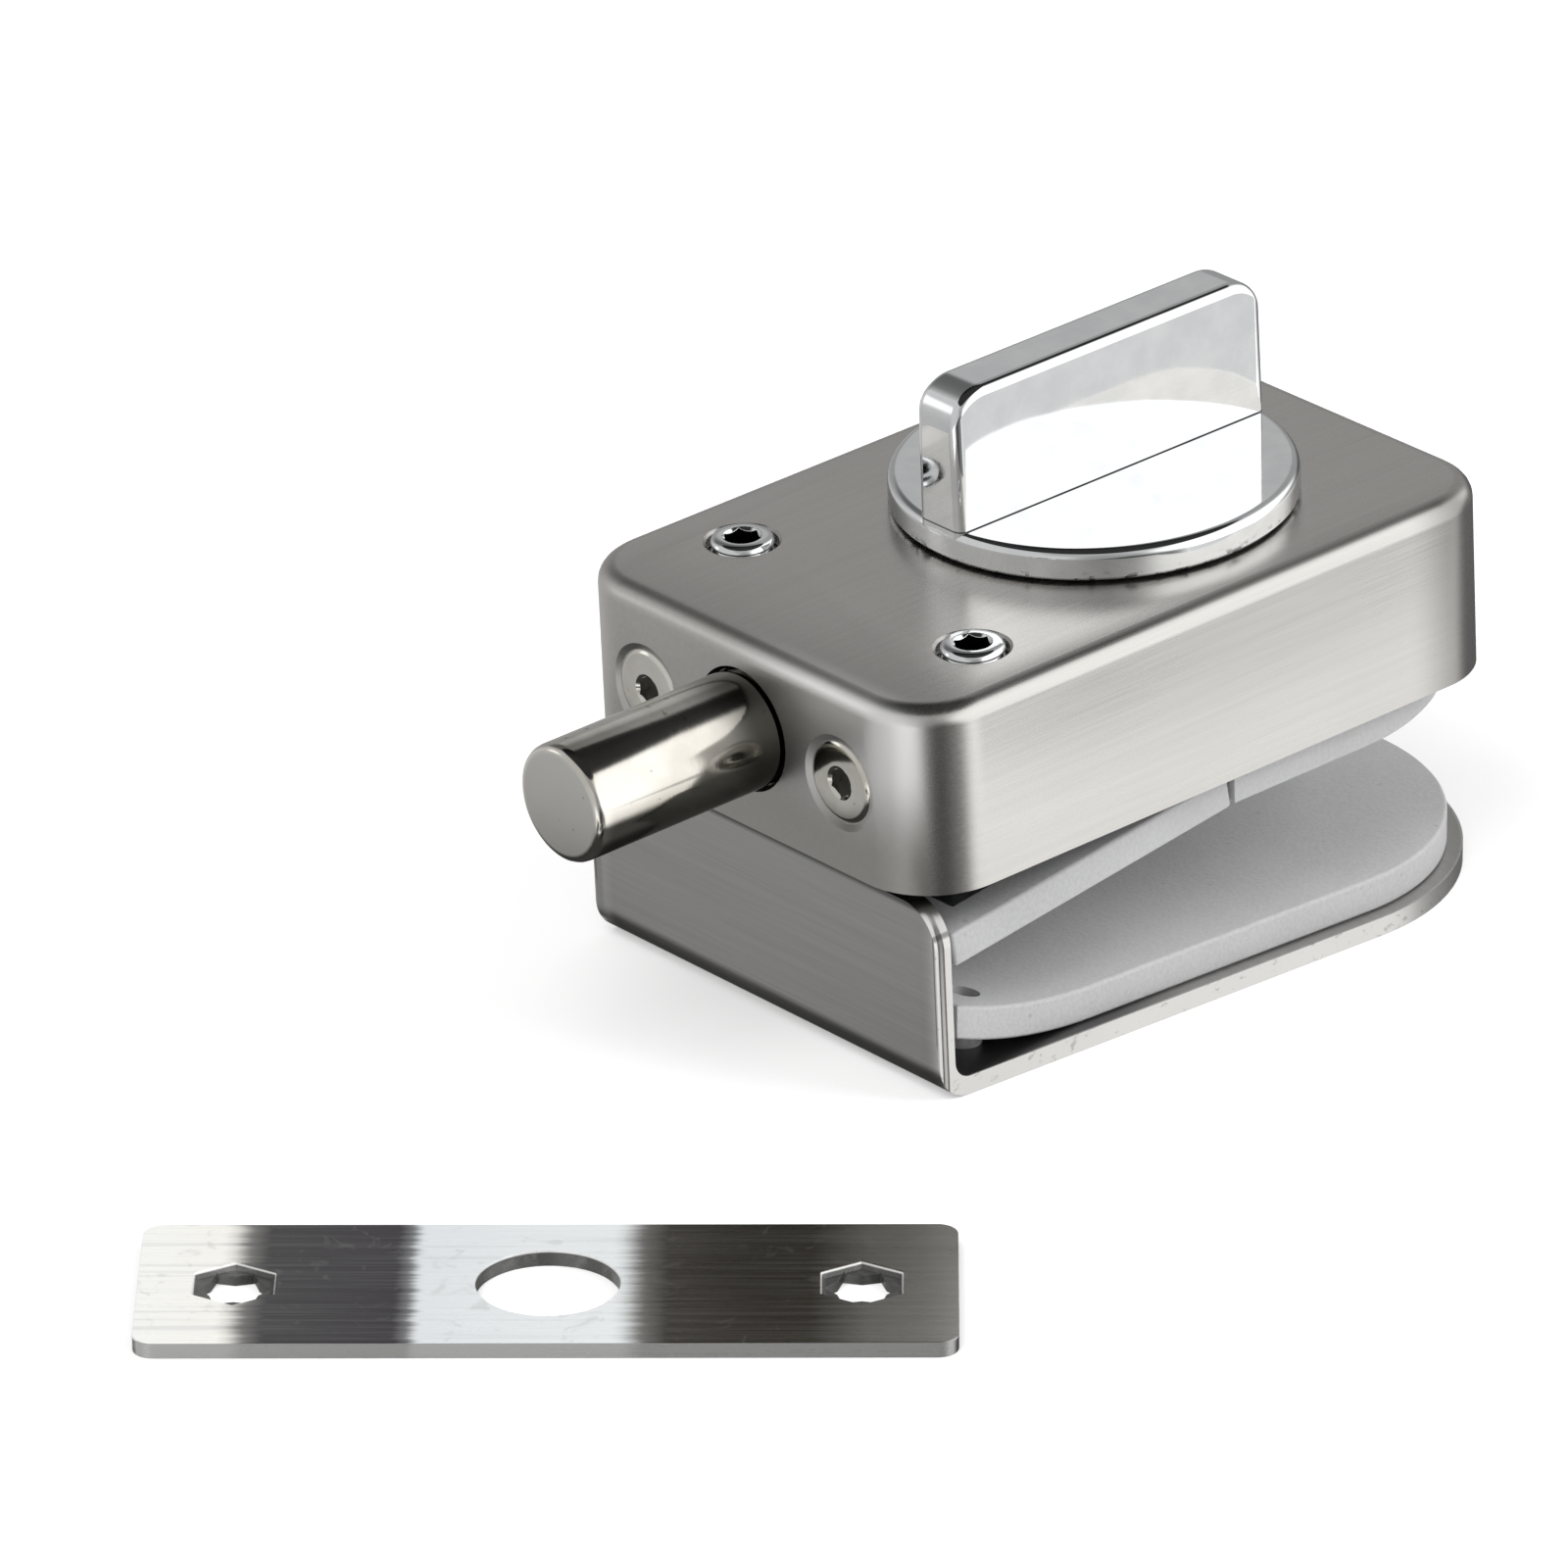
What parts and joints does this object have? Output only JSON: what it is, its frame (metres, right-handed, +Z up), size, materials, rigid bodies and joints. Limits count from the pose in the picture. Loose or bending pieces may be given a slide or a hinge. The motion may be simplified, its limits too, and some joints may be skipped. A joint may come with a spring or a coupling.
{
  "type": "glass door lock",
  "caption": "Clamp-on lock for a frameless glass door: knob-driven round bolt in a brushed cover, C-shaped bracket with soft pads, and a loose strike plate.",
  "frame": {"origin": "on the bracket's inner front face, midway across, 10 mm below the cover's lower rim: where the middle of the glass door's edge meets the bracket", "axes": "-Y is the way the bolt is thrown, +Y the way the glass comes in from, +Z up through the knob's axis, +X across the cover to the right seen from the bolt's nose"},
  "size_m": [0.0845, 0.1591, 0.0578],
  "materials": {
    "cover_steel": "fine brushed stainless steel, grain along the bolt, satin front",
    "bracket_steel": "satin stainless sheet with a bright sheared edge",
    "inner_steel": "plain zinc-plated steel",
    "brass": "machined brass",
    "nickel": "nickel plate, slightly warm",
    "black_steel": "black oxide screws",
    "acetal": "natural acetal",
    "spring_steel": "hardened steel",
    "pad_foam": "light grey closed-cell pad",
    "peg_plastic": "grey plastic",
    "chrome_steel": "bright chromed steel",
    "chrome_zinc": "mirror chrome on cast zinc",
    "strike_steel": "satin stainless sheet, scuffed"
  },
  "bodies": {
    "lock_case": {"case_cover": "cover_steel", "clamp_bracket": "bracket_steel", "base_plate": "inner_steel", "bolt_guide": "brass", "front_screws": "nickel", "guide_screws": "black_steel", "clamp_bushes": "inner_steel", "slide_rails": "acetal", "rail_screws": "black_steel", "rear_posts": "inner_steel", "rear_screws": "black_steel", "spindle_bush": "brass", "wave_washer": "spring_steel", "lower_pad": "pad_foam", "pad_pegs": "peg_plastic", "upper_pad_rear": "pad_foam"},
    "bolt_body": {"bolt": "nickel", "bolt_slide": "inner_steel", "slide_screws": "black_steel"},
    "knob_body": {"knob": "chrome_zinc", "knob_spindle": "inner_steel", "crank": "inner_steel", "crank_pin": "spring_steel", "crank_screw": "black_steel"},
    "pressure_body": {"pressure_plate": "inner_steel", "upper_pad_front": "pad_foam"},
    "clamp_left": {"clamp_screw_left": "chrome_steel"},
    "clamp_right": {"clamp_screw_right": "chrome_steel"},
    "strike": {"strike_plate": "strike_steel"}
  },
  "joints": [
    {"name": "knob_turn", "type": "hinge", "parent": "lock_case", "child": "knob_body", "pos_m": [0, 0.0389, 0.028], "axis": [0, 0, 1], "range_deg": [0, 90]},
    {"name": "bolt_throw", "type": "slide", "parent": "lock_case", "child": "bolt_body", "axis": [0, 1, 0], "range_m": [0, 0.0205]},
    {"name": "pad_tilt", "type": "hinge", "parent": "lock_case", "child": "pressure_body", "pos_m": [0, 0.0348, 0.0061], "axis": [1, 0, 0], "range_deg": [-7, 3.2]},
    {"name": "clamp_left_travel", "type": "slide", "parent": "lock_case", "child": "clamp_left", "axis": [0, 0, 1], "range_m": [-0.00125, 0.00283]},
    {"name": "clamp_right_travel", "type": "slide", "parent": "lock_case", "child": "clamp_right", "axis": [0, 0, 1], "range_m": [-0.00135, 0.00293]},
    {"name": "strike_lift", "type": "slide", "parent": "lock_case", "child": "strike", "axis": [0, 0, 1], "range_m": [0, 0.03]}
  ],
  "couplings": [
    {"joint": "knob_turn", "follows": "bolt_throw", "rad_per_m": 76.6},
    {"joint": "pad_tilt", "follows": "clamp_left_travel", "rad_per_m": -41.8},
    {"joint": "clamp_right_travel", "follows": "clamp_left_travel", "ratio": 1}
  ]
}
